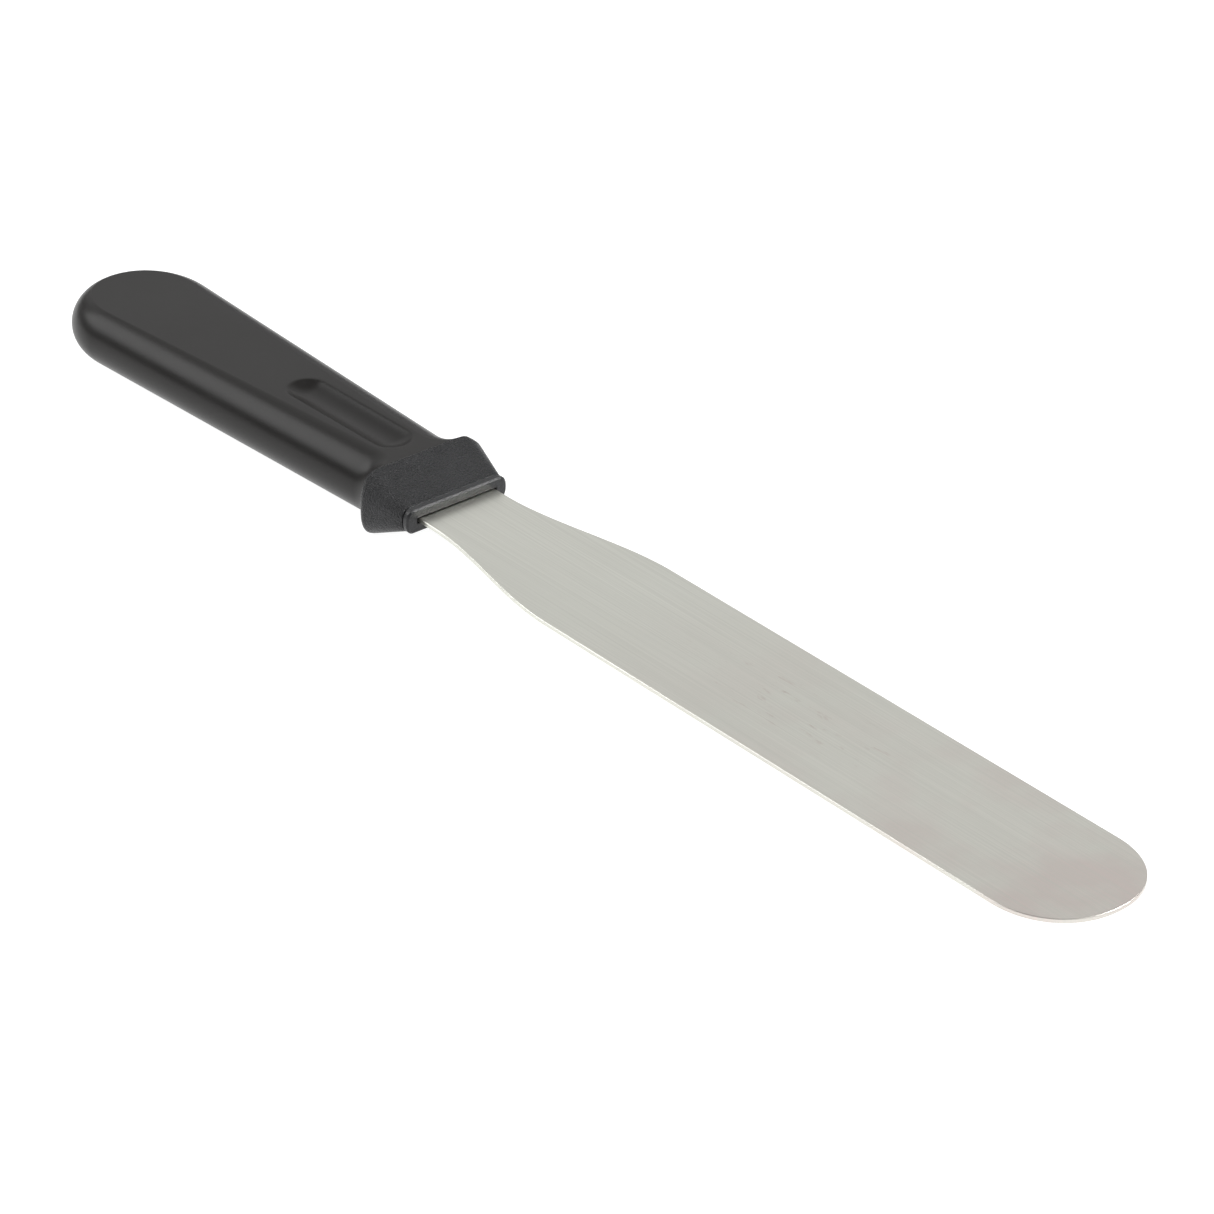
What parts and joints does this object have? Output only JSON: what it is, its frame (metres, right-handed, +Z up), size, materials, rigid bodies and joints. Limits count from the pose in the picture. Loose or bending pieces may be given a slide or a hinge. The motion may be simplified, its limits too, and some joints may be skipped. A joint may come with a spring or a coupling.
{
  "type": "icing spatula",
  "caption": "Straight icing spatula: a rounded flexible steel blade with a waisted root, held by its tang in a smooth black grip behind a grained guard.",
  "frame": {"origin": "middle of the overall length and width, on the surface that the guard's underside rests on", "axes": "+X from the handle to the tip of the blade, +Z up out of the blade's upper face, +Y to the left of the blade seen from the handle"},
  "size_m": [0.3356, 0.0348, 0.0158],
  "materials": {
    "blade_steel": "fine satin brushing along the blade",
    "guard_plastic": "grained black polypropylene",
    "core_plastic": "plain black polypropylene, hidden inside the grip",
    "grip_plastic": "smooth satin black polypropylene"
  },
  "bodies": {
    "root": {"blade": "blade_steel", "guard": "guard_plastic", "core": "core_plastic", "grip": "grip_plastic"}
  },
  "joints": []
}
